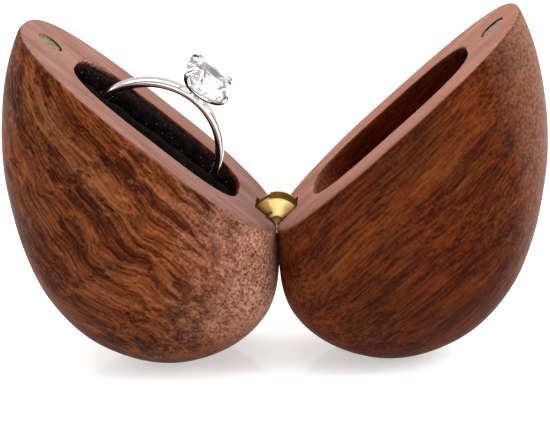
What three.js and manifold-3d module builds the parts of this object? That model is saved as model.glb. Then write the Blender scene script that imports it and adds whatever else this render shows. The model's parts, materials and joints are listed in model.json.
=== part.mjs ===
// Heart-shaped ring box in two hinged wooden halves, with velvet pads and a solitaire ring.
// Millimetres, +Z up. The box stands open on the two lobes of the heart, hinge pin along Y.
// Each half is drawn in its own frame: origin on the pin, X along the cut face toward the tip,
// Y across the box, Z out of the face, so the wood lies below Z = 0.
import * as THREE from 'three';
import { mergeVertices } from 'three/addons/utils/BufferGeometryUtils.js';
import Module from 'manifold-3d';

const wasm = await Module();
wasm.setup();

const DEG = Math.PI / 180;
const GAP = 0.3;

// Stance of the open box.
const FACE_TILT = 41.2 * DEG;
const PIN_HEIGHT = 19.9;
const SEAM = 0.15;

// Outside of one half: side outline radii every 30 degrees from the tip direction downward,
// swelled across the box by a superellipse.
const LOBE_X = 17.8;
const LOBE_Z = -11.3;
const LOBE_RADII = [22, 17.1, 16.1, 17.9, 21.3, 24.6, 25.15, 21.15, 23.8, 41.3, 43.3, 32.1];
const HALF_THICKNESS = 14.1;
const SWELL = 2.74;

// Slot milled in each face.
const SLOT_X = 21.3;
const SLOT_HALF_LENGTH = 14.35;
const SLOT_HALF_WIDTH = 7.9;
const SLOT_SQUARENESS = 3.3;
const SLOT_FILLET = 2.4;
const BASE_SLOT_DEPTH = 15.5;
const LID_SLOT_DEPTH = 13.5;

// Closing magnets near the tip.
const MAGNET_X = 40.3;
const MAGNET_RADIUS = 1.7;
const MAGNET_HEIGHT = 2.1;
const MAGNET_BORE_RADIUS = 1.95;
const MAGNET_BORE_DEPTH = 2.7;

// Knuckle hinge: an inner fork in the base, an outer fork in the lid, both on round shanks.
const PIN_RADIUS = 0.6;
const PIN_HOLE_RADIUS = 0.85;
const PIN_HEAD_RADIUS = 0.95;
const PIN_HALF_LENGTH = 2.65;
const BOSS_RADIUS = 1.5;
const PLATE_RADIUS = 3.5;
const PLATE_BURIED = 105 * DEG;
const INNER_PLATE_RISE = 34 * DEG;
const OUTER_PLATE_RISE = 67 * DEG;
const INNER_PLATE = [0.85, 1.3];
const OUTER_PLATE = [1.6, 2.05];
const TANG_HALF_WIDTH = 1;
const TANG_END = 5;
const SHANK_RADIUS = 2.2;
const SHANK_START = 3.8;
const SHANK_END = 9.4;
const SHANK_LEAN = 20 * DEG;

// Room cut in the wood for the hinge: each half clears its own plates all round, and the other
// half's plates as far below the face as they reach when the box is closed.
const POCKET_RADIUS = 3.9;
const SWEEP_MARGIN = 8 * DEG;
const BOSS_ROOM_RADIUS = 1.9;
const BOSS_ROOM_HALF_WIDTH = 3;

// Velvet pads either side of the ring slit.
const PAD_TOP = -0.3;
const PAD_ROUND = 1.5;
const SLIT_HALF_WIDTH = 1.2;

// Solitaire ring, standing in the slit.
const RING_X = 20.5;
const RING_Z = -2.6;
const RING_LEAN = 10 * DEG;
const RING_YAW = 5 * DEG;
const BAND_INNER = 8.9;
const BAND_OUTER = 10.1;
const BAND_HALF_WIDTH = 0.9;
const HEAD_FOOT = 10.35;
const GIRDLE_Z = 13;
const GIRDLE_RADIUS = 3.7;
const TABLE_RADIUS = 2.1;
const TABLE_Z = 14.25;
const CULET_Z = 10.75;
const PRONG_RADIUS = 0.38;
const RAIL_RADIUS = 2.75;
const RAIL_Z = 11.5;

function finish(color, roughness, metalness) {
  return new THREE.MeshStandardMaterial({ color, roughness, metalness });
}

function solid(geometry) {
  const plain = new THREE.BufferGeometry();
  plain.setAttribute('position', geometry.getAttribute('position').clone());
  if (geometry.index) {
    plain.setIndex(geometry.index.clone());
  }
  const merged = mergeVertices(plain, 1e-5);
  return new wasm.Manifold(new wasm.Mesh({
    numProp: 3,
    vertProperties: Float32Array.from(merged.getAttribute('position').array),
    triVerts: Uint32Array.from(merged.index.array),
  }));
}

function piece(name, body, material) {
  const surface = body.getMesh();
  const geometry = new THREE.BufferGeometry();
  geometry.setAttribute('position', new THREE.BufferAttribute(surface.vertProperties, 3));
  geometry.setIndex(new THREE.BufferAttribute(surface.triVerts, 1));
  geometry.computeVertexNormals();
  const mesh = new THREE.Mesh(geometry, material);
  mesh.name = name;
  return mesh;
}

function join(bodies) {
  return bodies.reduce((sum, body) => sum.add(body));
}

function block(x0, x1, y0, y1, z0, z1) {
  const geometry = new THREE.BoxGeometry(x1 - x0, y1 - y0, z1 - z0);
  geometry.translate((x0 + x1) / 2, (y0 + y1) / 2, (z0 + z1) / 2);
  return solid(geometry);
}

function crossCylinder(radius, y0, y1) {
  const geometry = new THREE.CylinderGeometry(radius, radius, y1 - y0, 40);
  geometry.translate(0, (y0 + y1) / 2, 0);
  return solid(geometry);
}

function uprightCylinder(radius, x, z0, z1) {
  const geometry = new THREE.CylinderGeometry(radius, radius, z1 - z0, 40);
  geometry.rotateX(Math.PI / 2);
  geometry.translate(x, 0, (z0 + z1) / 2);
  return solid(geometry);
}

function power(value, exponent) {
  return Math.sign(value) * Math.abs(value) ** exponent;
}

function lobeRadius(angle) {
  const count = LOBE_RADII.length;
  const place = ((angle / (2 * Math.PI)) * count + count) % count;
  const i = Math.floor(place);
  const t = place - i;
  const at = (step) => LOBE_RADII[(i + step + count) % count];
  const bend = 2 * at(-1) - 5 * at(0) + 4 * at(1) - at(2);
  const twist = 3 * (at(0) - at(1)) + at(2) - at(-1);
  return at(0) + 0.5 * t * (at(1) - at(-1) + t * (bend + t * twist));
}

function pebble() {
  const geometry = new THREE.SphereGeometry(1, 72, 40);
  const spots = geometry.getAttribute('position');
  const spot = new THREE.Vector3();
  for (let i = 0; i < spots.count; i += 1) {
    spot.fromBufferAttribute(spots, i);
    const angle = Math.atan2(-spot.z, spot.x);
    const reach = Math.hypot(spot.x, spot.z) ** (2 / SWELL) * lobeRadius(angle);
    const x = LOBE_X + reach * Math.cos(angle);
    const z = LOBE_Z - reach * Math.sin(angle);
    spots.setXYZ(i, x, HALF_THICKNESS * power(spot.y, 2 / SWELL), z);
  }
  return solid(geometry);
}

function floorBlock() {
  const geometry = new THREE.BoxGeometry(160, 80, 20);
  geometry.translate(0, 0, -PIN_HEIGHT - 10);
  geometry.rotateY(FACE_TILT);
  return solid(geometry);
}

function slotOutline(inset) {
  const points = [];
  for (let i = 0; i < 64; i += 1) {
    const turn = (i / 64) * 2 * Math.PI;
    const x = (SLOT_HALF_LENGTH - inset) * power(Math.cos(turn), 2 / SLOT_SQUARENESS);
    const y = (SLOT_HALF_WIDTH - inset) * power(Math.sin(turn), 2 / SLOT_SQUARENESS);
    points.push(new THREE.Vector2(x, y));
  }
  return new THREE.Shape(points);
}

function slotBlock(inset, z0, z1, round) {
  const geometry = new THREE.ExtrudeGeometry(slotOutline(inset), {
    depth: z1 - z0 - 2 * round,
    bevelThickness: round,
    bevelSize: round,
    bevelOffset: -round,
    bevelSegments: 4,
  });
  geometry.translate(SLOT_X, 0, z0 + round);
  return solid(geometry);
}

function shank(radius, start, end) {
  const geometry = new THREE.CylinderGeometry(radius, radius, end - start, 40);
  geometry.rotateX(Math.PI / 2);
  geometry.translate(0, 0, -(start + end) / 2);
  geometry.rotateY(-SHANK_LEAN);
  return solid(geometry);
}

function wedge(radius, low, high, y0, y1) {
  const shape = new THREE.Shape();
  shape.moveTo(0, 0);
  shape.lineTo(radius * Math.cos(low), radius * Math.sin(low));
  shape.absarc(0, 0, radius, low, high, false);
  shape.closePath();
  const geometry = new THREE.ExtrudeGeometry(shape, {
    depth: y1 - y0,
    curveSegments: 28,
    bevelEnabled: false,
  });
  geometry.rotateX(Math.PI / 2);
  geometry.translate(0, y1, 0);
  return solid(geometry);
}

function hingePlate(rise, y0, y1) {
  const fan = wedge(PLATE_RADIUS, -PLATE_BURIED, rise, y0, y1);
  const tang = new THREE.BoxGeometry(2 * TANG_HALF_WIDTH, y1 - y0, TANG_END);
  tang.translate(0, (y0 + y1) / 2, -TANG_END / 2);
  tang.rotateY(-SHANK_LEAN);
  return join([fan, solid(tang), crossCylinder(BOSS_RADIUS, y0, y1)]);
}

function hingeRoom(ownPlate, otherRise) {
  const own = ownPlate[1] + GAP;
  const other = OUTER_PLATE[1] + GAP;
  return join([
    crossCylinder(PLATE_RADIUS + GAP, -own, own),
    wedge(POCKET_RADIUS, -otherRise - SWEEP_MARGIN, Math.PI / 2, -other, other),
    crossCylinder(BOSS_ROOM_RADIUS, -BOSS_ROOM_HALF_WIDTH, BOSS_ROOM_HALF_WIDTH),
    shank(SHANK_RADIUS + GAP, SHANK_START - GAP, SHANK_END + GAP),
  ]);
}

function halfShell(slotDepth, ownPlate, otherRise) {
  const cuts = join([
    slotBlock(0, -slotDepth, 6, SLOT_FILLET),
    uprightCylinder(MAGNET_BORE_RADIUS, MAGNET_X, -MAGNET_BORE_DEPTH, 1),
    hingeRoom(ownPlate, otherRise),
    floorBlock(),
  ]);
  return pebble().intersect(block(-40, 70, -30, 30, -60, -SEAM)).subtract(cuts);
}

function magnet() {
  const top = -SEAM - 0.1;
  return uprightCylinder(MAGNET_RADIUS, MAGNET_X, top - MAGNET_HEIGHT, top);
}

function hingeFork(rise, [near, far]) {
  const fork = join([
    hingePlate(rise, -far, -near),
    hingePlate(rise, near, far),
    shank(SHANK_RADIUS, SHANK_START, SHANK_END),
  ]);
  return fork.subtract(crossCylinder(PIN_HOLE_RADIUS, -5, 5));
}

function turned(profile, segments) {
  const points = profile.map(([radius, height]) => new THREE.Vector2(radius, height));
  return new THREE.LatheGeometry(points, segments);
}

function hingePin() {
  const neck = OUTER_PLATE[1] + 0.2;
  return solid(turned([
    [0, -PIN_HALF_LENGTH],
    [0.6 * PIN_HEAD_RADIUS, 0.08 - PIN_HALF_LENGTH],
    [PIN_HEAD_RADIUS, 0.25 - PIN_HALF_LENGTH],
    [PIN_HEAD_RADIUS, -neck],
    [PIN_RADIUS, -neck],
    [PIN_RADIUS, neck],
    [PIN_HEAD_RADIUS, neck],
    [PIN_HEAD_RADIUS, PIN_HALF_LENGTH - 0.25],
    [0.6 * PIN_HEAD_RADIUS, PIN_HALF_LENGTH - 0.08],
    [0, PIN_HALF_LENGTH],
  ], 40));
}

function velvetPad(y0, y1) {
  const side = new THREE.BoxGeometry(60, y1 - y0, 60);
  side.translate(0, (y0 + y1) / 2, 0);
  side.rotateX(-RING_LEAN);
  side.rotateZ(RING_YAW);
  side.translate(RING_X, 0, RING_Z);
  return slotBlock(GAP, GAP - BASE_SLOT_DEPTH, PAD_TOP, PAD_ROUND).intersect(solid(side));
}

function ringBand() {
  const middle = (BAND_INNER + BAND_OUTER) / 2;
  const reach = (BAND_OUTER - BAND_INNER) / 2;
  const profile = [];
  for (let i = 0; i <= 12; i += 1) {
    const turn = (-i / 12) * 2 * Math.PI;
    const radius = middle + reach * power(Math.cos(turn), 0.8);
    profile.push([radius, BAND_HALF_WIDTH * power(Math.sin(turn), 0.8)]);
  }
  return solid(turned(profile.reverse(), 72));
}

function prong(turn) {
  const path = new THREE.CatmullRomCurve3([
    new THREE.Vector3(0.75, 0, HEAD_FOOT + 0.4),
    new THREE.Vector3(2.4, 0, 11.25),
    new THREE.Vector3(3.75, 0, 12.15),
    new THREE.Vector3(4.4, 0, GIRDLE_Z),
    new THREE.Vector3(4.2, 0, 13.65),
    new THREE.Vector3(3.5, 0, 14.05),
  ]);
  const section = new THREE.Shape().absarc(0, 0, PRONG_RADIUS, 0, 2 * Math.PI, false);
  const geometry = new THREE.ExtrudeGeometry(section, {
    steps: 12,
    curveSegments: 5,
    bevelEnabled: false,
    extrudePath: path,
  });
  geometry.rotateZ(turn);
  return solid(geometry);
}

function ringHead() {
  const rail = new THREE.TorusGeometry(RAIL_RADIUS, 0.3, 8, 32);
  rail.translate(0, 0, RAIL_Z);
  const foot = uprightCylinder(1.05, 0, HEAD_FOOT, HEAD_FOOT + 0.28);
  const prongs = [45, 135, 225, 315].map((turn) => prong(turn * DEG));
  return join([foot, solid(rail), ...prongs]);
}

function ringStone() {
  const geometry = turned([
    [0, CULET_Z],
    [GIRDLE_RADIUS, GIRDLE_Z - 0.08],
    [GIRDLE_RADIUS, GIRDLE_Z + 0.08],
    [TABLE_RADIUS, TABLE_Z],
    [0, TABLE_Z],
  ], 16);
  geometry.rotateX(Math.PI / 2);
  return solid(geometry);
}

function ring() {
  const group = new THREE.Group();
  group.position.set(RING_X, 0, RING_Z);
  group.rotation.set(-RING_LEAN, 0, RING_YAW, 'ZYX');
  group.add(piece('ring_band', ringBand(), finish(0xd9d9de, 0.15, 1)));
  group.add(piece('ring_head', ringHead(), finish(0xd4d4da, 0.15, 1)));
  group.add(piece('ring_stone', ringStone(), finish(0xf4f8ff, 0.02, 0)));
  return group;
}

function baseHalf() {
  const group = new THREE.Group();
  group.position.set(0, 0, PIN_HEIGHT);
  group.rotation.set(0, FACE_TILT, Math.PI);
  const edge = 2 * SLOT_HALF_WIDTH;
  const shell = halfShell(BASE_SLOT_DEPTH, INNER_PLATE, OUTER_PLATE_RISE);
  group.add(piece('base_shell', shell, finish(0x7a4526, 0.5, 0)));
  group.add(piece('base_magnet', magnet(), finish(0xb9b4a8, 0.35, 1)));
  const fork = hingeFork(INNER_PLATE_RISE, INNER_PLATE);
  group.add(piece('hinge_inner_fork', fork, finish(0xd8a63a, 0.25, 1)));
  group.add(piece('velvet_pad_near', velvetPad(SLIT_HALF_WIDTH, edge), finish(0x0c0b0c, 0.95, 0)));
  group.add(piece('velvet_pad_far', velvetPad(-edge, -SLIT_HALF_WIDTH), finish(0x0d0c0d, 0.95, 0)));
  group.add(ring());
  return group;
}

function lidHalf() {
  const group = new THREE.Group();
  group.position.set(0, 0, PIN_HEIGHT);
  group.rotation.set(0, -FACE_TILT, 0);
  const shell = halfShell(LID_SLOT_DEPTH, OUTER_PLATE, INNER_PLATE_RISE);
  group.add(piece('lid_shell', shell, finish(0x7c4727, 0.5, 0)));
  group.add(piece('lid_magnet', magnet(), finish(0xb9b4a8, 0.35, 1)));
  const fork = hingeFork(OUTER_PLATE_RISE, OUTER_PLATE);
  group.add(piece('hinge_outer_fork', fork, finish(0xe0b040, 0.25, 1)));
  return group;
}

function hingeAxle() {
  const mesh = piece('hinge_pin', hingePin(), finish(0xcf9c35, 0.25, 1));
  mesh.position.set(0, 0, PIN_HEIGHT);
  return mesh;
}

const ringBox = new THREE.Group();
ringBox.name = 'ring_box';
ringBox.add(baseHalf(), lidHalf(), hingeAxle());

export default ringBox;
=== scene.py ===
import json
import math

import bpy
import numpy as np
from mathutils import Matrix, Vector


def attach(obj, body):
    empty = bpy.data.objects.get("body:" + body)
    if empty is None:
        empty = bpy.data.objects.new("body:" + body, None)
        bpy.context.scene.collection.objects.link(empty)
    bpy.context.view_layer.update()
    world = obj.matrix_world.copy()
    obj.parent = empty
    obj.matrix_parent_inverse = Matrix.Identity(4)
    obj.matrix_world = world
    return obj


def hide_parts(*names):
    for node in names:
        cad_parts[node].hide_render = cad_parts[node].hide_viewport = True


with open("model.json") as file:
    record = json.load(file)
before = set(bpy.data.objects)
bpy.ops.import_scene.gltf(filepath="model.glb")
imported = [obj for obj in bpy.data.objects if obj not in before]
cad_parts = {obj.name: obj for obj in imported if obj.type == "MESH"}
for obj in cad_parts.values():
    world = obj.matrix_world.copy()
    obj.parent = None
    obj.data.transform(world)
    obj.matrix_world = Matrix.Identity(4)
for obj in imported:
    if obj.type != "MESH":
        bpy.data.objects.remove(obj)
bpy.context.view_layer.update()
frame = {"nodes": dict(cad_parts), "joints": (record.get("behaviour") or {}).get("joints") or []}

# Heart-shaped ring box. Shapes are drawn in millimetres in each half's own frame (X along the cut
# face from the hinge pin to the tip, Y across, Z out of the face) and placed in metres.
MM = 0.001
PIN = Vector(frame["joints"][0]["pos_m"])
TILT = math.radians(41.2)

# Outside of one half: side outline radii every 30 degrees from the tip direction downward, swelled
# across the box by a superellipse. SEAM is how far the cut face stops short of the middle plane, and
# RIM is the rounding of its outer edge.
LOBE_X, LOBE_Z = 17.8, -11.3
LOBE_RADII = np.array([22, 17.1, 16.1, 17.9, 21.3, 24.6, 25.22, 21.3, 23.8, 41.3, 43.3, 32.1])
HALF_THICKNESS = 14.1
SWELL = 2.74
SEAM = 0.07
RIM = 0.8

# Recess milled in the cut face, and the rounding of its lip.
SLOT_X, SLOT_LENGTH, SLOT_WIDTH, SLOT_SQUARE = 21.3, 14.35, 7.9, 3.3
SLOT_FILLET = 2.4
BASE_DEPTH, LID_DEPTH = 15.5, 13.5
LIP = 0.42
FLOOR_SHARES, FILLET_STEPS, WALL_STEPS, EDGE_STEPS = (0.3, 0.6, 0.85), 6, 8, 5

# Room for the hinge: all round a half's own plates, and as far down as the other half's plates sweep.
PLATE_ROOM, SWEEP_ROOM, SWEEP_HALF, BOSS_ROOM, BOSS_HALF = 3.8, 3.9, 2.4, 1.9, 3.0
BASE_OWN, LID_OWN = 1.6, 2.35
BASE_SWEEP, LID_SWEEP, SWEEP_TOP = math.radians(-75), math.radians(-42), 1.7
SHANK_LEAN, SHANK_ROOM, SHANK_FROM, SHANK_TO = math.radians(20), 2.5, 3.5, 9.7
MAGNET_X, MAGNET_BORE, MAGNET_DEPTH = 40.3, 1.95, 2.7
SHARP_ANGLE = math.radians(38)

# Solitaire ring, drawn about its own centre with its head up.
RING_X, RING_Z = 20.5, -2.6
RING_LEAN, RING_YAW = math.radians(10), math.radians(5)
BAND_IN, BAND_OUT, BAND_HALF = 8.9, 10.1, 0.95
BAND_TAPER = 0.12
PRONG_PATH = [(0.55, 0, 10.5), (1.3, 0, 10.75), (2.5, 0, 11.3), (3.75, 0, 12.15), (4.38, 0, 13.05),
              (4.2, 0, 13.65), (3.45, 0, 14.06)]
PRONG_RADIUS, PRONG_WAIST, PRONG_TIP = 0.48, 0.1, 0.02
RAIL_RADIUS, RAIL_Z, RAIL_THICK, RAIL_TALL = 2.75, 11.5, 0.27, 0.3
FOOT_RADIUS, FOOT_Z, FOOT_THICK, FOOT_TALL = 0.62, 10.55, 0.42, 0.28
HEAD_VOXEL = 0.075
GIRDLE_RADIUS, GIRDLE_Z, GIRDLE_HALF = 3.7, 13.0, 0.07
TABLE_RADIUS, TABLE_Z, CULET_Z = 2.1, 14.25, 10.75
LOWER_SHARE = 0.23

# Velvet pads: the sewn blank before it is blown up, and how far the cover may move.
SLIT_HALF, PAD_FLOOR, PAD_START_TOP, PAD_ROLL = 1.3, -14.9, -0.55, 1.6
PAD_SIDES, ROLL_STEPS, PAD_VOXEL = 180, 8, 0.5
PAD_HOLD = 3.0
PAD_MIDDLE = 4.9
WALL_MARGIN, WALL_ROLL, SIDE_CAP, SINK_CAP, RISE_CAP = 0.3, 0.35, 0.3, 0.3, 0.5
SWELL_SCALE = 0.02
PRESSURE, SWELL_FRAMES = 4, 20
# Detail of the tops: it fades in over these heights. The band goes in at ENTRY either side.
DETAIL_FROM, DETAIL_RANGE = -4.2, 3.4
SAG, TUCK, TUCK_FROM, TUCK_RANGE = 0.1, 0.14, 9.5, 4
ENTRY, DENT, DENT_WIDTH = 9.3, 0.5, 1.5
WELT, WELT_AWAY, WELT_WIDTH = 0.14, 2.6, 1.0

SCALE = Matrix.Diagonal((MM, MM, MM, 1))
BASE = Matrix.Translation(PIN) @ Matrix.Rotation(TILT, 4, "Y") @ Matrix.Rotation(math.pi, 4, "Z") @ SCALE
LID = Matrix.Translation(PIN) @ Matrix.Rotation(-TILT, 4, "Y") @ SCALE
RING = (BASE @ Matrix.Translation((RING_X, 0, RING_Z)) @ Matrix.Rotation(RING_YAW, 4, "Z")
        @ Matrix.Rotation(-RING_LEAN, 4, "X"))
SLIT_NORMAL = np.array((Matrix.Rotation(RING_YAW, 3, "Z") @ Matrix.Rotation(-RING_LEAN, 3, "X")).col[1])


# ---------------------------------------------------------------- mesh helpers
def link(obj):
    """Puts an object in the scene."""
    bpy.context.scene.collection.objects.link(obj)
    return obj


def mesh_object(name, verts, faces, place=Matrix.Identity(4), smooth=True):
    """A new mesh object in the scene, with its points moved by place."""
    mesh = bpy.data.meshes.new(name)
    mesh.from_pydata([tuple(v) for v in verts], [], [tuple(f) for f in faces])
    mesh.validate()
    mesh.transform(place)
    mesh.polygons.foreach_set("use_smooth", [smooth] * len(mesh.polygons))
    return link(bpy.data.objects.new(name, mesh))


def loops_to_mesh(loops, first_pole=None, last_pole=None):
    """Closed skin over a list of equal-length loops, capped with a fan at each pole."""
    count = len(loops[0])
    verts = np.concatenate(loops)
    faces = []
    for k in range(len(loops) - 1):
        a, b = k * count, (k + 1) * count
        for i in range(count):
            j = (i + 1) % count
            faces.append((a + i, a + j, b + j, b + i))
    extra = []
    for pole, start, flip in ((first_pole, 0, True), (last_pole, (len(loops) - 1) * count, False)):
        if pole is not None:
            tip = len(verts) + len(extra)
            extra.append(pole)
            for i in range(count):
                j = (i + 1) % count
                faces.append((tip, start + j, start + i) if flip else (tip, start + i, start + j))
    if extra:
        verts = np.concatenate([verts, np.array(extra)])
    return verts, faces


def baked(obj):
    """Applies every modifier on obj."""
    graph = bpy.context.evaluated_depsgraph_get()
    mesh = bpy.data.meshes.new_from_object(obj.evaluated_get(graph))
    old = obj.data
    obj.modifiers.clear()
    obj.data = mesh
    bpy.data.meshes.remove(old)
    return obj


def cut(obj, cutters):
    """Takes the cutters away from obj one after another, and deletes them."""
    for cutter in cutters:
        mod = obj.modifiers.new("cut", "BOOLEAN")
        mod.operation = "DIFFERENCE"
        mod.solver = "EXACT"
        mod.object = cutter
    baked(obj)
    for cutter in cutters:
        bpy.data.objects.remove(cutter)
    return obj


def drum(name, radius, low, high, place, sides=96):
    """Closed cylinder along local Z, used as a cutter."""
    turn = np.arange(sides) / sides * 2 * math.pi
    ring = np.c_[radius * np.cos(turn), radius * np.sin(turn)]
    loops = [np.c_[ring, np.full(sides, z)] for z in (low, high)]
    verts, faces = loops_to_mesh(loops, (0, 0, low), (0, 0, high))
    return mesh_object(name, verts, faces, place)


def power(value, exponent):
    return np.sign(value) * np.abs(value) ** exponent


# ---------------------------------------------------------------- wooden shells
def lobe_radius(angle):
    """Side outline radius at an angle, by a Catmull-Rom curve through LOBE_RADII."""
    count = len(LOBE_RADII)
    place = (angle / (2 * math.pi) * count) % count
    i = np.floor(place).astype(int)
    t = place - i
    a, b, c, d = (LOBE_RADII[(i + k) % count] for k in (-1, 0, 1, 2))
    return b + 0.5 * t * (c - a + t * (2 * a - 5 * b + 4 * c - d + t * (3 * (b - c) + d - a)))


def pebble_field(p):
    """Below 0 inside the wood, 0 on its outside."""
    dx, dz = p[..., 0] - LOBE_X, p[..., 2] - LOBE_Z
    ratio = np.hypot(dx, dz) / lobe_radius(np.arctan2(-dz, dx))
    return ratio ** SWELL + np.abs(p[..., 1] / HALF_THICKNESS) ** SWELL - 1


def cast(turn, drop):
    """Where rays from the slot's centre on the face meet the outside of the wood."""
    way = np.stack([np.cos(drop) * np.cos(turn), np.cos(drop) * np.sin(turn), -np.sin(drop)], -1)
    start = np.array([SLOT_X, 0, -SEAM])
    low, high = np.zeros(len(turn)), np.full(len(turn), 60.0)
    for _ in range(40):
        middle = (low + high) / 2
        inside = pebble_field(start + way * middle[:, None]) < 0
        low, high = np.where(inside, middle, low), np.where(inside, high, middle)
    return start + way * low[:, None]


def slot_loop(turn, z, grow=0.0):
    """Outline of the recess at height z, grown or shrunk in its plane."""
    c, s = np.cos(turn), np.sin(turn)
    reach = (np.abs(c / (SLOT_LENGTH + grow)) ** SLOT_SQUARE
             + np.abs(s / (SLOT_WIDTH + grow)) ** SLOT_SQUARE) ** (-1 / SLOT_SQUARE)
    return np.c_[SLOT_X + reach * c, reach * s, np.full(len(turn), z)]


def rounded(start, corner, end, steps):
    """Quadratic curve from start to end round a corner, without its first point."""
    out = []
    for k in range(1, steps + 1):
        t = k / steps
        out.append((1 - t) ** 2 * start + 2 * t * (1 - t) * corner + t * t * end)
    return out


def recess_loops(turn, floor):
    """Loops over the floor of the recess, round its fillet and up its wall."""
    loops = []
    middle = np.array([SLOT_X, 0])
    for share in FLOOR_SHARES:
        ring = slot_loop(turn, floor, -SLOT_FILLET)
        ring[:, :2] = middle + (ring[:, :2] - middle) * share
        loops.append(ring)
    for k in range(FILLET_STEPS + 1):
        a = k / FILLET_STEPS * math.pi / 2
        height = floor + SLOT_FILLET * (1 - math.cos(a))
        loops.append(slot_loop(turn, height, -SLOT_FILLET * (1 - math.sin(a))))
    top = -SEAM - LIP
    for share in np.linspace(0, 1, WALL_STEPS + 1)[1:]:
        loops.append(slot_loop(turn, (floor + SLOT_FILLET) * (1 - share) + top * share))
    return loops


def shell_loops(depth, turns=256, rings=84):
    """Loops from the floor of the recess over the cut face and the outside to the bottom."""
    turn = np.arange(turns) / turns * 2 * math.pi
    loops = recess_loops(turn, -depth)
    inner = slot_loop(turn, -SEAM, LIP)
    loops += rounded(loops[-1], slot_loop(turn, -SEAM), inner, EDGE_STEPS)
    outline = cast(turn, np.zeros(turns))
    centre = np.array([SLOT_X, 0, -SEAM])
    reach = np.linalg.norm(outline - centre, axis=1)
    brink = centre + (outline - centre) * ((reach - RIM) / reach)[:, None]
    loops += [inner * (1 - share) + brink * share for share in (0.33, 0.67)]
    loops.append(brink)
    first = np.arctan(RIM / reach)
    loops += rounded(brink, outline, cast(turn, first), EDGE_STEPS)
    loops += [cast(turn, first + (math.pi / 2 - first) * k / rings) for k in range(1, rings)]
    bottom = cast(np.array([0.0]), np.array([math.pi / 2]))[0]
    return loops, np.array([SLOT_X, 0, -depth]), bottom


def wedge(name, radius, low, high, half, place, steps=40):
    """Closed slice of a drum about local Y, from angle low to angle high, used as a cutter."""
    turn = np.linspace(low, high, steps)
    rim = [(0.0, 0.0)] + list(zip(radius * np.cos(turn), radius * np.sin(turn)))
    count = len(rim)
    verts = [(x, y, z) for y in (-half, half) for x, z in rim]
    faces = [tuple(range(count)), tuple(range(2 * count - 1, count - 1, -1))]
    for i in range(count):
        j = (i + 1) % count
        faces.append((j, i, count + i, count + j))
    return mesh_object(name, verts, faces, place)


def shell(name, place, depth, own, sweep):
    """One wooden half. The order of the cuts matters: some orders leave the solver with no result."""
    loops, first, last = shell_loops(depth)
    verts, faces = loops_to_mesh(loops, first, last)
    obj = mesh_object(name, verts, faces, place)
    for v in obj.data.vertices:
        v.co.z = max(v.co.z, 0.0)
    along_pin = place @ Matrix.Rotation(math.pi / 2, 4, "X")
    at_magnet = place @ Matrix.Translation((MAGNET_X, 0, 0))
    along_shank = place @ Matrix.Rotation(-SHANK_LEAN, 4, "Y")
    cut(obj, [
        drum("boss_room", BOSS_ROOM, -BOSS_HALF, BOSS_HALF, along_pin, 90),
        wedge("sweep", SWEEP_ROOM, sweep, SWEEP_TOP, SWEEP_HALF, place),
        drum("plate_room", PLATE_ROOM, -own, own, along_pin),
        drum("shank_bore", SHANK_ROOM, -SHANK_TO, -SHANK_FROM, along_shank),
        drum("magnet_bore", MAGNET_BORE, -MAGNET_DEPTH, 1, at_magnet, 64),
    ])
    obj.data.set_sharp_from_angle(angle=SHARP_ANGLE)
    return obj


base_wood = shell("base_wood", BASE, BASE_DEPTH, BASE_OWN, BASE_SWEEP)
lid_wood = shell("lid_wood", LID, LID_DEPTH, LID_OWN, LID_SWEEP)
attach(base_wood, "base")
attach(lid_wood, "lid")
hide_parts("base_shell")
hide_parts("lid_shell")


# ---------------------------------------------------------------- ring
def band():
    """Ring band of a rounded rectangular section, a little narrower under the head."""
    steps, sides = 288, 40
    verts = []
    for i in range(steps):
        t = i / steps * 2 * math.pi
        near_head = max(0.0, math.sin(t)) ** 6
        half = BAND_HALF - BAND_TAPER * near_head
        for k in range(sides):
            a = k / sides * 2 * math.pi
            across = half * power(math.cos(a), 0.5)
            swell = 0.5 * (BAND_OUT - BAND_IN) * power(math.sin(a), 0.6)
            radius = 0.5 * (BAND_OUT + BAND_IN) + swell
            verts.append((radius * math.cos(t), across, radius * math.sin(t)))
    faces = []
    for i in range(steps):
        for k in range(sides):
            j, m = (i + 1) % steps, (k + 1) % sides
            faces.append((i * sides + k, i * sides + m, j * sides + m, j * sides + k))
    return mesh_object("solitaire_band", verts, faces, RING)


def spline(points, count):
    """Catmull-Rom curve through points."""
    points = np.array(points, float)
    points = np.vstack([2 * points[0] - points[1], points, 2 * points[-1] - points[-2]])
    out = []
    for s in np.linspace(0, len(points) - 3 - 1e-9, count):
        i = int(s)
        t = s - i
        a, b, c, d = points[i:i + 4]
        out.append(b + 0.5 * t * (c - a + t * (2 * a - 5 * b + 4 * c - d + t * (3 * (b - c) + d - a))))
    return np.array(out)


def tube(path, radii, sides=20):
    """Closed tube of changing radius with rounded ends. The path lies in one plane through Z."""
    tangent = np.gradient(path, axis=0)
    tangent /= np.linalg.norm(tangent, axis=1)[:, None]
    side = np.cross(tangent[0], tangent[len(tangent) // 2])
    side /= np.linalg.norm(side)
    turn = np.arange(sides) / sides * 2 * math.pi

    def loop(centre, radius, along):
        other = np.cross(along, side)
        return centre + radius * (np.cos(turn)[:, None] * side + np.sin(turn)[:, None] * other)

    def cap(end, way):
        """Loops of the half ball at one end, from its pole inward."""
        angles = [share * math.pi / 2 for share in (0.35, 0.7, 0.92)]
        return [loop(path[end] + way * tangent[end] * radii[end] * math.cos(a),
                     radii[end] * math.sin(a), tangent[end]) for a in angles]

    loops = cap(0, -1)
    loops += [loop(p, r, t) for p, r, t in zip(path, radii, tangent)]
    loops += cap(-1, 1)[::-1]
    return loops_to_mesh(loops, path[0] - tangent[0] * radii[0], path[-1] + tangent[-1] * radii[-1])


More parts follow.
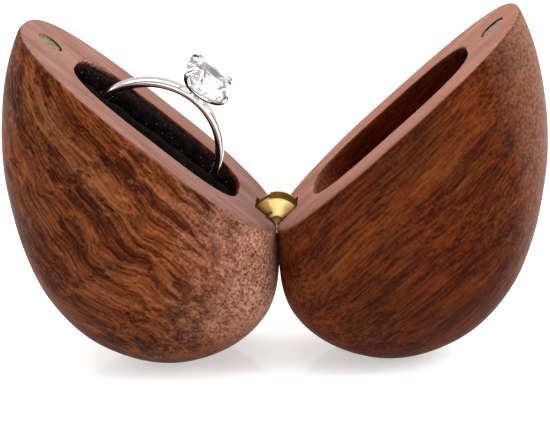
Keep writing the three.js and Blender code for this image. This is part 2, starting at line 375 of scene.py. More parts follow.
def torus(radius, z, thick, tall, steps=96, sides=20):
    """Flat ring about Z at height z."""
    verts, faces = [], []
    for i in range(steps):
        t = i / steps * 2 * math.pi
        for k in range(sides):
            a = k / sides * 2 * math.pi
            r = radius + thick * math.cos(a)
            verts.append((r * math.cos(t), r * math.sin(t), z + tall * math.sin(a)))
            j, m = (i + 1) % steps, (k + 1) % sides
            faces.append((i * sides + k, j * sides + k, j * sides + m, i * sides + m))
    return np.array(verts), faces


def merged(parts):
    """One list of points and faces from several."""
    verts, faces, base = [], [], 0
    for v, f in parts:
        verts.append(np.asarray(v))
        faces += [tuple(base + i for i in face) for face in f]
        base += len(v)
    return np.concatenate(verts), faces


def head():
    """Four claws on a rail and a foot, fused like a casting."""
    path = spline(PRONG_PATH, 44)
    share = np.linspace(0, 1, len(path))
    radii = PRONG_RADIUS - PRONG_WAIST * np.sin(share * math.pi) + PRONG_TIP * share
    verts, faces = tube(path, radii)
    parts = []
    for turn in (45, 135, 225, 315):
        a = math.radians(turn)
        spin = np.array([[math.cos(a), -math.sin(a), 0], [math.sin(a), math.cos(a), 0], [0, 0, 1]])
        parts.append((verts @ spin.T, faces))
    parts.append(torus(RAIL_RADIUS, RAIL_Z, RAIL_THICK, RAIL_TALL))
    parts.append(torus(FOOT_RADIUS, FOOT_Z, FOOT_THICK, FOOT_TALL))
    obj = mesh_object("solitaire_head", *merged(parts))
    remesh = obj.modifiers.new("cast", "REMESH")
    remesh.mode = "VOXEL"
    remesh.voxel_size = HEAD_VOXEL
    soften = obj.modifiers.new("soften", "SMOOTH")
    soften.factor = 0.5
    soften.iterations = 4
    baked(obj)
    obj.data.transform(RING)
    obj.data.polygons.foreach_set("use_smooth", [True] * len(obj.data.polygons))
    return obj


def stone():
    """Round stone with a table, star, kite and girdle facets above and long facets below."""
    radius, table, half = GIRDLE_RADIUS, TABLE_RADIUS, GIRDLE_HALF
    slope = (TABLE_Z - GIRDLE_Z - half) / (radius - table)
    fall = (GIRDLE_Z - half - CULET_Z) / radius
    eighth = math.radians(45)

    def spot(r, k, z):
        return (r * math.cos(k * eighth), r * math.sin(k * eighth), z)

    star_r = 0.5 * (table * math.cos(eighth / 2) + radius)
    star_z = TABLE_Z - (star_r * math.cos(eighth / 2) - table) * slope
    low_r = LOWER_SHARE * radius
    low_z = CULET_Z + low_r * math.cos(eighth / 2) * fall
    verts = [spot(table, k, TABLE_Z) for k in range(8)]
    verts += [spot(star_r, k + 0.5, star_z) for k in range(8)]
    verts += [spot(radius, k / 2, GIRDLE_Z + half) for k in range(16)]
    verts += [spot(radius, k / 2, GIRDLE_Z - half) for k in range(16)]
    verts += [spot(low_r, k + 0.5, low_z) for k in range(8)]
    verts.append((0, 0, CULET_Z))
    star, up, down, low, tip = 8, 16, 32, 48, 56
    faces = [tuple(range(8))]
    for k in range(8):
        n, p = (k + 1) % 8, (k - 1) % 8
        g, h, i = 2 * k, 2 * k + 1, (2 * k + 2) % 16
        faces.append((k, star + k, n))
        faces.append((k, star + p, up + g, star + k))
        faces.append((star + k, up + g, up + h))
        faces.append((star + k, up + h, up + i))
        faces.append((up + g, down + g, down + h, up + h))
        faces.append((up + h, down + h, down + i, up + i))
        faces.append((tip, low + k, down + g, low + p))
        faces.append((low + k, down + h, down + g))
        faces.append((low + k, down + i, down + h))
    return mesh_object("solitaire_stone", verts, faces, RING, smooth=False)


ring_band, ring_head, ring_stone = band(), head(), stone()
for piece, node, slot in ((ring_band, "ring_band", "white_gold"), (ring_head, "ring_head", "white_gold"),
                          (ring_stone, "ring_stone", "stone")):
    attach(piece, "base")
    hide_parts(node)


# ---------------------------------------------------------------- velvet pads
def slit_side(points):
    """Signed distance from the middle plane of the slit."""
    return (points - np.array([RING_X, 0, RING_Z])) @ SLIT_NORMAL


def pad_loop(turn, z, side, margin):
    """Outline at height z of the half of the recess on one side of the slit."""
    way = np.c_[np.cos(turn), np.sin(turn), np.zeros(len(turn))]
    start = np.array([SLOT_X, side * PAD_MIDDLE, z])
    low, high = np.zeros(len(turn)), np.full(len(turn), 40.0)
    for _ in range(36):
        middle = (low + high) / 2
        point = start + way * middle[:, None]
        wall = WALL_MARGIN + WALL_ROLL * (margin - WALL_MARGIN)
        room = (np.abs((point[:, 0] - SLOT_X) / (SLOT_LENGTH - wall)) ** SLOT_SQUARE
                + np.abs(point[:, 1] / (SLOT_WIDTH - wall)) ** SLOT_SQUARE)
        inside = (room < 1) & (side * slit_side(point) > SLIT_HALF + margin - WALL_MARGIN)
        low, high = np.where(inside, middle, low), np.where(inside, high, middle)
    return start + way * low[:, None]


def rolled_edge(turn, side, low, high, flip):
    """Loops round the rolled edge of a pad between two heights. flip is for the bottom edge."""
    loops = []
    for k in range(ROLL_STEPS + 1):
        share = 1 - k / ROLL_STEPS if flip else k / ROLL_STEPS
        angle = share * math.pi / 2
        rise = (high - low) * math.sin(angle)
        margin = WALL_MARGIN + (high - low) * (1 - math.cos(angle))
        loops.append(pad_loop(turn, high - rise if flip else low + rise, side, margin))
    return loops


def pad_blank(name, side):
    """Evenly meshed pad before swelling, drawn larger by SWELL_SCALE / MM for the simulation."""
    turn = np.arange(PAD_SIDES) / PAD_SIDES * 2 * math.pi
    loops = rolled_edge(turn, side, PAD_FLOOR, PAD_FLOOR + 1, True)
    loops += rolled_edge(turn, side, PAD_START_TOP - PAD_ROLL, PAD_START_TOP, False)
    first, last = loops[0].mean(axis=0), loops[-1].mean(axis=0)
    verts, faces = loops_to_mesh(loops, first, last)
    obj = mesh_object(name, verts * SWELL_SCALE, faces)
    remesh = obj.modifiers.new("even", "REMESH")
    remesh.mode = "VOXEL"
    remesh.voxel_size = PAD_VOXEL * SWELL_SCALE
    return baked(obj)


def coordinates(mesh):
    """The mesh's points as an array."""
    flat = np.empty(len(mesh.vertices) * 3)
    mesh.vertices.foreach_get("co", flat)
    return flat.reshape(-1, 3)


def swell(pads):
    """Blows the covers up as cloth under pressure, held below PAD_HOLD and capped all over."""
    scene = bpy.context.scene
    starts = [coordinates(pad.data) for pad in pads]
    for pad, start in zip(pads, starts):
        hold = pad.vertex_groups.new(name="hold")
        fixed = np.flatnonzero(start[:, 2] < (PAD_START_TOP - PAD_HOLD) * SWELL_SCALE)
        hold.add(fixed.tolist(), 1.0, "REPLACE")
        cloth = pad.modifiers.new("swell", "CLOTH").settings
        cloth.vertex_group_mass = "hold"
        cloth.use_pressure = True
        cloth.uniform_pressure_force = PRESSURE
        cloth.effector_weights.gravity = 0
    for moment in range(1, SWELL_FRAMES + 1):
        scene.frame_set(moment)
    graph = bpy.context.evaluated_depsgraph_get()
    for pad, start in zip(pads, starts):
        shift = (coordinates(pad.evaluated_get(graph).data) - start) / SWELL_SCALE
        flat = np.hypot(shift[:, 0], shift[:, 1])
        shift[:, :2] *= np.minimum(1, SIDE_CAP / np.maximum(flat, 1e-9))[:, None]
        shift[:, 2] = np.clip(shift[:, 2], -SINK_CAP, RISE_CAP)
        pad.modifiers.clear()
        pad.vertex_groups.clear()
        pad.data.vertices.foreach_set("co", (start + shift * SWELL_SCALE).ravel())
    scene.frame_set(1)


def finish_pad(pad, side):
    """Subdivides a pad and adds the tucks at its ends and the dents where the band goes in."""
    smooth = pad.modifiers.new("smooth", "SUBSURF")
    smooth.levels = smooth.render_levels = 1
    baked(pad)
    p = coordinates(pad.data) / SWELL_SCALE
    top = np.clip((p[:, 2] - DETAIL_FROM) / DETAIL_RANGE, 0, 1)
    along, across = p[:, 0] - SLOT_X, side * p[:, 1]
    edge = side * slit_side(p) - SLIT_HALF
    sag = SAG * np.sin(0.9 * along + 2 * side) * np.sin(0.35 * along + 0.6)
    end = np.clip((np.abs(along) - TUCK_FROM) / TUCK_RANGE, 0, 1)
    lift = sag - TUCK * end * np.abs(np.sin(1.25 * across + 0.5 * along)) ** 5
    for entry in (-ENTRY, ENTRY):
        away = np.hypot(p[:, 0] - RING_X - entry, edge - 0.4)
        lift -= DENT * np.exp(-(away / DENT_WIDTH) ** 2)
        lift += WELT * np.exp(-((away - WELT_AWAY) / WELT_WIDTH) ** 2)
    p[:, 2] += lift * top
    pad.data.vertices.foreach_set("co", (p * SWELL_SCALE).ravel())
    pad.data.transform(BASE @ Matrix.Diagonal((1 / SWELL_SCALE,) * 3 + (1,)))
    pad.data.polygons.foreach_set("use_smooth", [True] * len(pad.data.polygons))


near_cushion, far_cushion = pad_blank("near_cushion", 1), pad_blank("far_cushion", -1)
swell((near_cushion, far_cushion))
for cushion, side, node in ((near_cushion, 1, "velvet_pad_near"), (far_cushion, -1, "velvet_pad_far")):
    finish_pad(cushion, side)
    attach(cushion, "base")
    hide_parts(node)


# ---------------------------------------------------------------- materials
class Nodes:
    """Short calls for a node tree."""

    def __init__(self, name):
        self.material = bpy.data.materials.new(name)
        self.material.use_nodes = True
        self.tree = self.material.node_tree
        self.shader = self.tree.nodes["Principled BSDF"]

    def wire(self, socket, value):
        """Links value to socket if it is a socket, or sets it on the socket."""
        if isinstance(value, bpy.types.NodeSocket):
            self.tree.links.new(value, socket)
        elif value is not None:
            socket.default_value = value

    def add(self, kind, inputs, output=0, **settings):
        node = self.tree.nodes.new(kind)
        for key, value in settings.items():
            setattr(node, key, value)
        for key, value in inputs.items():
            self.wire(node.inputs[key], value)
        return node.outputs[output]

    def maths(self, operation, a, b=None, c=None, clamp=False):
        return self.add("ShaderNodeMath", {0: a, 1: b, 2: c}, operation=operation, use_clamp=clamp)

    def vector(self, operation, a, b=None):
        return self.add("ShaderNodeVectorMath", {0: a, 1: b}, operation=operation)

    def noise(self, where, scale, detail=3.0, rough=0.5, distortion=0.0, output=0):
        return self.add("ShaderNodeTexNoise", {"Vector": where, "Scale": scale, "Detail": detail,
                                               "Roughness": rough, "Distortion": distortion}, output)

    def ramp(self, value, stops):
        """Colour ramp from pairs of a position and a colour."""
        node = self.tree.nodes.new("ShaderNodeValToRGB")
        self.wire(node.inputs[0], value)
        element = node.color_ramp.elements
        while len(element) < len(stops):
            element.new(0.5)
        for e, (position, colour) in zip(element, stops):
            e.position = position
            e.color = (*colour, 1) if len(colour) == 3 else colour
        return node.outputs[0]

    def level(self, value, low, high, to_low=0.0, to_high=1.0):
        """Maps low..high to to_low..to_high, and stops there."""
        return self.add("ShaderNodeMapRange", {0: value, 1: low, 2: high, 3: to_low, 4: to_high})

    def blend(self, share, a, b, mode="MIX"):
        """Mixes two colours."""
        node = self.tree.nodes.new("ShaderNodeMix")
        node.data_type = "RGBA"
        node.blend_type = mode
        self.wire(node.inputs[0], share)
        self.wire(node.inputs[6], a)
        self.wire(node.inputs[7], b)
        return node.outputs[2]

    def bump(self, height, distance, strength=1.0, normal=None):
        return self.add("ShaderNodeBump", {"Height": height, "Distance": distance, "Strength": strength,
                                           "Normal": normal})

    def place(self, where, location=(0, 0, 0), rotation=(0, 0, 0), scale=(1, 1, 1)):
        return self.add("ShaderNodeMapping", {"Vector": where, "Location": location, "Rotation": rotation,
                                              "Scale": scale})

    def grain(self, where, location, scale, detail=2.0, rough=0.5, output=0):
        """Noise stretched along X by a scale for each axis."""
        return self.noise(self.place(where, location, scale=scale), 1.0, detail, rough, 0.0, output)

    def millimetres(self):
        """The object's own coordinates in millimetres."""
        here = self.add("ShaderNodeTexCoord", {}, "Object")
        return self.place(here, scale=(1 / MM, 1 / MM, 1 / MM))

    def dot(self, value, way):
        node = self.tree.nodes.new("ShaderNodeVectorMath")
        node.operation = "DOT_PRODUCT"
        self.wire(node.inputs[0], value)
        node.inputs[1].default_value = way
        return node.outputs["Value"]

    def parts(self, value):
        node = self.tree.nodes.new("ShaderNodeSeparateXYZ")
        self.wire(node.inputs[0], value)
        return node.outputs

    def pores(self, where, place, along, across, width, patchy):
        """Dark strokes along X, in patches: 1 in the middle of a pore, 0 outside."""
        stretched = self.place(where, scale=(along, across, across))
        cells = self.add("ShaderNodeTexVoronoi", {"Vector": stretched, "Scale": 1.0, "Randomness": 1.0},
                         "Distance")
        patch = self.grain(place, (patchy, 5, 1), (0.12, 0.4, 0.4))
        reach = self.level(patch, 0.34, 0.58, 0.02, width)
        depth = self.maths("SUBTRACT", 1.0, self.maths("DIVIDE", cells, reach), clamp=True)
        return self.maths("MULTIPLY", depth, 1.8, clamp=True)

    def inside_slot(self, here):
        """1 in the recess and just round it, by the recess's outline."""
        x = self.maths("DIVIDE", self.maths("SUBTRACT", here[0], SLOT_X), SLOT_LENGTH + 0.25)
        y = self.maths("DIVIDE", here[1], SLOT_WIDTH + 0.25)
        x = self.maths("POWER", self.maths("ABSOLUTE", x), SLOT_SQUARE)
        y = self.maths("POWER", self.maths("ABSOLUTE", y), SLOT_SQUARE)
        room = self.maths("LESS_THAN", self.maths("ADD", x, y), 1.0)
        return self.maths("MULTIPLY", room, self.maths("GREATER_THAN", here[2], -16.5))

    def set(self, **values):
        """Sets or links the shader's inputs, with _ for a space in their names."""
        for key, value in values.items():
            self.wire(self.shader.inputs[key.replace("_", " ")], value)
        return self.material


def dress(obj, material):
    obj.data.materials.clear()
    obj.data.materials.append(material)


def half_space(n, side):
    """Millimetre coordinates in one half's frame. side is -1 for the base, +1 for the lid."""
    here = n.add("ShaderNodeTexCoord", {}, "Object")
    pin = PIN.z / MM
    location = (-pin * math.sin(TILT), 0, -pin * math.cos(TILT))
    rotation = (0, TILT, 0) if side > 0 else (0, -TILT, math.pi)
    return n.place(here, location, rotation, (1 / MM, 1 / MM, 1 / MM))


# What differs between the two blocks of walnut. The base half is wild, and the lid half is straight.
BASE_WALNUT = {
    "side": -1, "sway": 6.5, "wave": 2.4, "lean": (0.0, 0.2, 0.12),
    "shares": (0.28, 0.25, 0.30, 0.17), "stops": (0.39, 0.452, 0.5, 0.55, 0.62),
    "shades": ((0.030, 0.0062, 0.0020), (0.064, 0.0150, 0.0042), (0.118, 0.034, 0.0098),
               (0.182, 0.060, 0.0200), (0.26, 0.098, 0.040)),
    "lines": 0.92, "pores": 0.95, "pore_width": 0.26,
    "end_and_sheen_spread": 0.7, "end_and_sheen_from": 0.12, "end_and_sheen_to": 0.62, "end_and_sheen_stops": (0.38, 0.5, 0.62),
    "end_and_sheen_shades": ((0.25, 0.098, 0.056), (0.46, 0.212, 0.136), (0.62, 0.32, 0.22)),
    # the recess multiplier below is painted shade
    "face_tint": (0.76, 0.82, 0.90), "recess_shade_tint": (0.16, 0.09, 0.09, 1),
}
LID_WALNUT = {
    "side": 1, "sway": 3.0, "wave": 0.6, "lean": (0.0, 0.04, 0.1),
    "shares": (0.27, 0.15, 0.36, 0.22), "stops": (0.37, 0.443, 0.5, 0.56, 0.645),
    "shades": ((0.026, 0.0048, 0.0018), (0.050, 0.0098, 0.0026), (0.084, 0.0185, 0.0040),
               (0.118, 0.030, 0.0066), (0.165, 0.049, 0.0130)),
    "lines": 0.62, "pores": 0.6, "pore_width": 0.2,
    # on the lid the pale end colours are painted sheen as well as end grain
    "end_and_sheen_spread": 0.3, "end_and_sheen_from": 0.3, "end_and_sheen_to": 0.92, "end_and_sheen_stops": (0.36, 0.5, 0.64),
    "end_and_sheen_shades": ((0.115, 0.044, 0.025), (0.180, 0.080, 0.050), (0.250, 0.122, 0.083)),
    # the recess multiplier below is painted shade
    "face_tint": (1.1, 1.06, 1.06), "recess_shade_tint": (0.9, 0.44, 0.42, 1),
}
DARK_WOOD = (0.017, 0.0036, 0.0019, 1)
FRECKLE = (0.068, 0.020, 0.011, 1)
FACE_PORE = (0.11, 0.042, 0.026, 1)
FACE_STOPS = (0.36, 0.5, 0.64)
FACE_SHADES = ((0.235, 0.100, 0.066), (0.325, 0.150, 0.107), (0.400, 0.200, 0.150))


def wood_figure(n, p, wood):
    """The layers of figure that colours, pores and bump share. The fibres run along X and wander."""
    half = (0.5, 0.5, 0.5)
    bend = n.grain(p, (3, 1, 7), (0.05, 0.05, 0.05), 0.0, 0.5, "Color")
    ripple = n.grain(p, (11, 4, 2), (0.2, 0.11, 0.11), 1.0, 0.4, "Color")
    sway = n.vector("MULTIPLY", n.vector("SUBTRACT", bend, half), (0, wood["sway"], wood["sway"]))
    wave = n.vector("MULTIPLY", n.vector("SUBTRACT", ripple, half), (0, wood["wave"], wood["wave"]))
    q = n.vector("ADD", n.place(p, rotation=wood["lean"]), n.vector("ADD", sway, wave))
    return {
        "fibre": q,
        "band": n.grain(q, (1, 2, 3), (0.02, 0.26, 0.34)),
        "streak": n.grain(q, (0, 7, 1), (0.05, 0.85, 0.85), 2.0, 0.55),
        "thread": n.grain(q, (5, 5, 8), (0.14, 2.6, 2.6), 1.5),
        "cloud": n.grain(p, (2, 8, 5), (0.09, 0.12, 0.12)),
        "grit": n.noise(p, 2.4, 2.0, 0.65),
    }


def wood_pores(n, p, figure, wood):
    """Open pores, as strokes that show as dots on end grain."""
    q = figure["fibre"]
    pore = n.pores(q, p, 0.11, 1.5, wood["pore_width"], 3.0)
    mote = n.pores(n.place(q, (7.3, 3.1, 5.7)), p, 0.26, 2.7, 0.27, 8.0)
    return n.maths("MAXIMUM", pore, n.maths("MULTIPLY", mote, 0.75))


def wood_body(n, p, depth, figure, pore, wood):
    """Long grain: layered tones, dark lines, pores, and painted shade that darkens the bottom of the lobe.
    """
    shares = wood["shares"]
    tone = n.maths("MULTIPLY", figure["streak"], shares[1])
    for layer, share in (("band", shares[0]), ("thread", shares[2]), ("grit", shares[3])):
        tone = n.maths("MULTIPLY_ADD", figure[layer], share, tone)
    body = n.ramp(tone, list(zip(wood["stops"], wood["shades"])))
    warm = n.blend(1.0, body, (1.25, 1.0, 0.78, 1), "MULTIPLY")
    body = n.blend(n.level(figure["cloud"], 0.38, 0.64), body, warm)
    off_line = n.maths("ABSOLUTE", n.maths("SUBTRACT", figure["streak"], 0.46))
    where = n.level(n.grain(p, (4, 1, 9), (0.11, 0.3, 0.3)), 0.47, 0.6)
    line = n.maths("MULTIPLY", n.level(off_line, 0.0, 0.03, 1.0, 0.0),
                   n.maths("MULTIPLY", where, wood["lines"]))
    body = n.blend(line, body, DARK_WOOD)
    body = n.blend(n.maths("MULTIPLY", pore, wood["pores"]), body, DARK_WOOD)
    # painted shade: darker and redder towards the bottom of the lobe
    bottom_shade = n.level(depth, -24, -9, 0.62, 1.0)
    shade = n.add("ShaderNodeCombineColor", {0: bottom_shade, 1: n.maths("POWER", bottom_shade, 1.25),
                                             2: n.maths("POWER", bottom_shade, 1.6)})
    return n.blend(1.0, body, shade, "MULTIPLY")


def end_grain_and_sheen(n, p, depth, normal, figure, wood):
    """Where the outside cuts across the fibres it is paler and pinker: how much, and its colour. On the lid
    this pale patch, on the shoulder towards its tip, is painted sheen as well as end grain.
    """
    side = wood["side"]
    toward = n.dot(normal, (math.cos(TILT), 0, side * math.sin(TILT)))
    ragged = n.maths("MULTIPLY_ADD", n.maths("SUBTRACT", figure["streak"], 0.5), wood["end_and_sheen_spread"], toward)
    # pale end grain; on the lid also painted sheen on the shoulder towards the tip
    end = n.level(ragged, wood["end_and_sheen_from"], wood["end_and_sheen_to"])
    buff = n.ramp(figure["grit"], list(zip(wood["end_and_sheen_stops"], wood["end_and_sheen_shades"])))
    if side < 0:
        end = n.maths("MULTIPLY", end, n.level(depth, -18.5, -8, 0.12, 1.0))
        freckle = n.pores(n.place(p, (1.3, 8.1, 2.7)), p, 0.5, 1.75, 0.4, 5.0)
        buff = n.blend(n.maths("MULTIPLY", freckle, 0.95), buff, FRECKLE)
    return end, buff


def cut_face(n, p, depth, normal, figure, pore, wood):
    """The sanded cut face is paler and pinker, with a faint fine grain: where it is, and its colour."""
    facing = n.dot(normal, (-wood["side"] * math.sin(TILT), 0, math.cos(TILT)))
    face = n.maths("MULTIPLY", n.level(facing, 0.55, 0.85), n.level(depth, -0.75, -0.2))
    hair = n.noise(n.place(p, (6, 1, 1), (0, 0, 0.04), (0.09, 3.4, 3.4)), 1.0, 2.5, 0.6)
    shades = [tuple(c * tint for c, tint in zip(shade, wood["face_tint"])) for shade in FACE_SHADES]
    mix = n.maths("MULTIPLY_ADD", hair, 0.7, n.maths("MULTIPLY", figure["band"], 0.3))
    pale = n.ramp(mix, list(zip(FACE_STOPS, shades)))
    return face, n.blend(n.maths("MULTIPLY", pore, 0.3), pale, FACE_PORE)


def walnut(name, wood):
    """The whole material of one block of walnut."""
    n = Nodes(name)
    p = half_space(n, wood["side"])
    here = n.parts(p)
    depth = here[2]
    normal = n.add("ShaderNodeTexCoord", {}, "Normal")
    figure = wood_figure(n, p, wood)
    pore = wood_pores(n, p, figure, wood)
    body = wood_body(n, p, depth, figure, pore, wood)
    end, buff = end_grain_and_sheen(n, p, depth, normal, figure, wood)
    # pale end grain, and on the lid painted sheen as well
    body = n.blend(end, body, buff)
    face, pale = cut_face(n, p, depth, normal, figure, pore, wood)
    # painted shade: the recess is coloured darker and redder than the outside, for the shade inside it
    recess_shade_mask = n.maths("MULTIPLY", n.inside_slot(here), n.level(depth, -0.9, -0.4, 1.0, 0.0))
    body = n.blend(recess_shade_mask, body, n.blend(1.0, body, wood["recess_shade_tint"], "MULTIPLY"))
    grit, thread = figure["grit"], figure["thread"]
    gloss = n.maths("MULTIPLY_ADD", grit, 0.14, n.level(figure["cloud"], 0.3, 0.7, 0.38, 0.46))
    rough = n.maths("MULTIPLY_ADD", pore, 0.2, n.maths("MULTIPLY_ADD", face, 0.12, gloss))
    relief = n.maths("MULTIPLY_ADD", thread, 0.35, n.maths("MULTIPLY", grit, 0.2))
    height = n.maths("MULTIPLY_ADD", pore, -1.0, relief)
    n.set(Base_Color=n.blend(face, body, pale), Roughness=rough, Normal=n.bump(height, 0.00008, 0.8))
    return n.set(Specular_IOR_Level=0.04)


def brass(name, dull, mid, bright):
    """Brushed brass that clouds from dull to bright."""
    n = Nodes(name)
    here = n.millimetres()
    cloud = n.noise(here, 0.9, 3.0, 0.6)
    scratch = n.noise(n.place(here, (0, 0, 0), (0.3, 0.5, 0.2), (1.2, 9.0, 14.0)), 1.0, 3.0, 0.6)
    colour = n.ramp(cloud, [(0.3, dull), (0.55, mid), (0.8, bright)])
    rough = n.maths("MULTIPLY_ADD", scratch, 0.25, 0.2)
    n.set(Base_Color=colour, Roughness=rough, Normal=n.bump(scratch, 0.00001, 0.5))
    return n.set(Metallic=1.0)


def nickel():
    """Smudged, tarnished plating of the magnets, its colours kept dark as painted shade for the bores they
    sit in.
    """
    n = Nodes("nickel")
    here = n.millimetres()
    smudge = n.noise(here, 1.9, 4.0, 0.65, 0.6)
    # painted shade: the colours are kept dark for the bore the magnet sits in
    colour = n.ramp(smudge, [(0.36, (0.10, 0.082, 0.036)), (0.5, (0.31, 0.265, 0.14)),
                             (0.64, (0.56, 0.50, 0.34))])
    rough = n.level(smudge, 0.3, 0.7, 0.5, 0.3)
    n.set(Base_Color=colour, Roughness=rough, Normal=n.bump(smudge, 0.00003, 0.5))
    return n.set(Metallic=1.0)


def white_gold():
    n = Nodes("white_gold")
    here = n.millimetres()
    haze = n.noise(here, 1.1, 3.0, 0.6)
    hair = n.noise(n.place(here, (0, 0, 0), (0.2, 0.9, 0.1), (2.0, 16.0, 16.0)), 1.0, 2.0, 0.6)
    colour = n.ramp(haze, [(0.3, (0.78, 0.755, 0.74)), (0.7, (0.90, 0.89, 0.88))])
    rough = n.maths("MULTIPLY_ADD", hair, 0.08, n.level(haze, 0.3, 0.7, 0.03, 0.09))
    n.set(Base_Color=colour, Roughness=rough, Normal=n.bump(hair, 0.000004, 0.3))
    return n.set(Metallic=1.0)


def diamond():
    n = Nodes("diamond")
    here = n.millimetres()
    haze = n.noise(here, 0.8, 2.0, 0.5)
    colour = n.ramp(haze, [(0.3, (0.93, 0.95, 0.985)), (0.7, (0.985, 0.985, 1.0))])
    n.set(Base_Color=colour, Roughness=n.level(haze, 0.2, 0.8, 0.0, 0.012))
    # painted light: a faint bluish-white glow brightens the stone
    n.set(Emission_Color=(0.9, 0.93, 1.0, 1), Emission_Strength=0.05)
    return n.set(Transmission_Weight=1.0, IOR=2.1)


def velvet():
    """Black pile, laid unevenly, with a little lint."""
    n = Nodes("velvet")
    here = n.millimetres()
    lay = n.noise(here, 0.9, 3.0, 0.7, 0.8)
    pile = n.noise(here, 7.0, 2.0, 0.7)
    lint = n.add("ShaderNodeTexVoronoi", {"Vector": here, "Scale": 1.3, "Randomness": 1.0}, "Distance")
    speck = n.maths("LESS_THAN", lint, 0.07)
    nap = n.maths("MULTIPLY_ADD", pile, 0.5, n.maths("MULTIPLY", lay, 0.5))
    colour = n.ramp(nap, [(0.4, (0.0002, 0.0001, 0.0001)), (0.5, (0.0022, 0.0013, 0.0012)),
                          (0.62, (0.011, 0.0072, 0.0068))])
    colour = n.blend(speck, colour, (0.22, 0.22, 0.22, 1))
    height = n.maths("MULTIPLY_ADD", pile, 1.0, n.maths("MULTIPLY", lay, 0.6))
    n.set(Base_Color=colour, Normal=n.bump(height, 0.00012, 0.8))
    return n.set(Roughness=0.95, Specular_IOR_Level=0.01, Sheen_Weight=0.03, Sheen_Roughness=0.5,
                 Sheen_Tint=(0.5, 0.46, 0.46, 1))


dress(base_wood, walnut("walnut_base", BASE_WALNUT))
dress(lid_wood, walnut("walnut_lid", LID_WALNUT))
metal = white_gold()
dress(ring_band, metal)
dress(ring_head, metal)
dress(ring_stone, diamond())
NODE_BEVEL, NODE_SHARP = 0.06, math.radians(40)
# painted shade: the inner fork's brass is a darker, redder copy of the outer fork's, for the shade it sits
# in behind the outer fork
painted_shade_brass = brass("painted_shade_brass", (0.68, 0.42, 0.12), (0.86, 0.60, 0.22), (0.94, 0.74, 0.36))
pale_brass = brass("pale_brass", (0.80, 0.56, 0.17), (0.93, 0.72, 0.30), (0.98, 0.86, 0.50))
# the pin is a darker brass
dark_brass = brass("dark_brass", (0.30, 0.21, 0.06), (0.55, 0.42, 0.15), (0.74, 0.60, 0.27))
nickel_look, velvet_look = nickel(), velvet()
NODE_LOOKS = {"hinge_inner_fork": painted_shade_brass, "hinge_outer_fork": pale_brass, "hinge_pin": dark_brass,
              "base_magnet": nickel_look, "lid_magnet": nickel_look}
for node, look in NODE_LOOKS.items():
    obj = frame["nodes"][node]
    dress(obj, look)
    soft = obj.modifiers.new("edge", "BEVEL")
    soft.width = NODE_BEVEL * MM
    soft.segments = 3
    soft.limit_method = "ANGLE"
    soft.angle_limit = NODE_SHARP
for cushion in (near_cushion, far_cushion):
    dress(cushion, velvet_look)


# ---------------------------------------------------------------- stage
FLOOR_Z = -0.00002
FLOOR_RINGS = (0.05, 0.3, 1.5, 6.0)
FLOOR_GLOW = 0.5
WORLD_STRENGTH = 0.72
FRONT_DIM, FRONT_WAY, FRONT_FROM, FRONT_TO = 0.12, (0, 1, 0.65), -1.0, 0.1
CAMERA_AZIMUTH, CAMERA_ELEVATION, CAMERA_ROLL = (math.radians(a) for a in (3.48, 17.49, -2.58))
CAMERA_AIM = PIN + Vector((-0.00031, 0, 0.00096))
CAMERA_DISTANCE = 0.2138
FRAME_WIDTH, FOCAL_WIDTH, SENSOR = 550, 1500, 36
LIGHT_AIM = (0, 0, 0.02)
LIGHTS = {
    "top": ((0.0, 0.1, 0.7), (0.9, 0.7), 4),
    "left": ((-0.5, 0.2, 0.25), (0.3, 0.4), 0.9),
    "right": ((0.5, -0.02, 0.32), (0.3, 0.4), 3.0),
}


def studio_floor():
    """Round pale floor that glows a little, so that it stays as white as the surroundings."""
    turns = 96
    turn = np.arange(turns) / turns * 2 * math.pi
    loops = [np.c_[r * np.cos(turn), r * np.sin(turn), np.full(turns, FLOOR_Z)] for r in FLOOR_RINGS]
    verts, faces = loops_to_mesh(loops, (0, 0, FLOOR_Z))
    obj = mesh_object("studio_floor", verts, [tuple(reversed(f)) for f in faces])
    n = Nodes("studio_floor")
    haze = n.noise(n.add("ShaderNodeTexCoord", {}, "Object"), 3.0, 2.0, 0.5)
    n.set(Base_Color=n.ramp(haze, [(0.3, (0.93, 0.93, 0.93)), (0.7, (0.95, 0.95, 0.95))]))
    n.set(Emission_Color=(1, 1, 1, 1), Emission_Strength=FLOOR_GLOW)
    dress(obj, n.set(Roughness=0.1, Specular_IOR_Level=0.5))


def area_light(name, where, size, watts):
    """White rectangular light aimed at the object."""
    data = bpy.data.lights.new(name, "AREA")
    data.shape = "RECTANGLE"
    data.size, data.size_y = size
    data.energy = watts
    obj = link(bpy.data.objects.new(name, data))
    obj.location = where
    obj.rotation_mode = "QUATERNION"
    obj.rotation_quaternion = (Vector(LIGHT_AIM) - Vector(where)).to_track_quat("-Z", "Y")


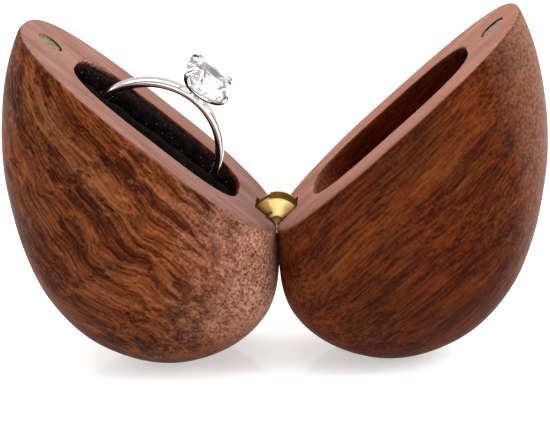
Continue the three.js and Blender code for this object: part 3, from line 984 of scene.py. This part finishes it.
def studio_world():
    """White surroundings that are darker on the viewer's side, as in a room with a bright tent behind."""
    world = bpy.data.worlds.new("studio")
    world.use_nodes = True
    tree = world.node_tree
    way = tree.nodes.new("ShaderNodeTexCoord").outputs["Generated"]
    dot = tree.nodes.new("ShaderNodeVectorMath")
    dot.operation = "DOT_PRODUCT"
    dot.inputs[1].default_value = FRONT_WAY
    tree.links.new(way, dot.inputs[0])
    share = tree.nodes.new("ShaderNodeMapRange")
    share.interpolation_type = "SMOOTHSTEP"
    for socket, value in zip(list(share.inputs)[1:5], (FRONT_FROM, FRONT_TO, FRONT_DIM, 1.0)):
        socket.default_value = value
    tree.links.new(dot.outputs["Value"], share.inputs[0])
    background = tree.nodes["Background"]
    tree.links.new(share.outputs[0], background.inputs[0])
    background.inputs[1].default_value = WORLD_STRENGTH
    bpy.context.scene.world = world


def studio_camera():
    """The camera at the viewing angle, aimed just above the pin."""
    level, slope = math.cos(CAMERA_ELEVATION), math.sin(CAMERA_ELEVATION)
    back = Vector((math.sin(CAMERA_AZIMUTH) * level, -math.cos(CAMERA_AZIMUTH) * level, slope))
    right = Vector((math.cos(CAMERA_AZIMUTH), math.sin(CAMERA_AZIMUTH), 0))
    up = back.cross(right)
    turned_right = math.cos(CAMERA_ROLL) * right + math.sin(CAMERA_ROLL) * up
    turned_up = math.cos(CAMERA_ROLL) * up - math.sin(CAMERA_ROLL) * right
    data = bpy.data.cameras.new("camera")
    data.sensor_width = SENSOR
    data.lens = FOCAL_WIDTH / FRAME_WIDTH * SENSOR
    data.clip_start, data.clip_end = 0.01, 20
    obj = link(bpy.data.objects.new("camera", data))
    turn = Matrix((turned_right, turned_up, back)).transposed()
    obj.matrix_world = Matrix.Translation(CAMERA_AIM + back * CAMERA_DISTANCE) @ turn.to_4x4()
    bpy.context.scene.camera = obj


studio_floor()
studio_world()
studio_camera()
for light, (where, size, watts) in LIGHTS.items():
    area_light(light, where, size, watts)
bpy.context.scene.view_settings.view_transform = "Standard"
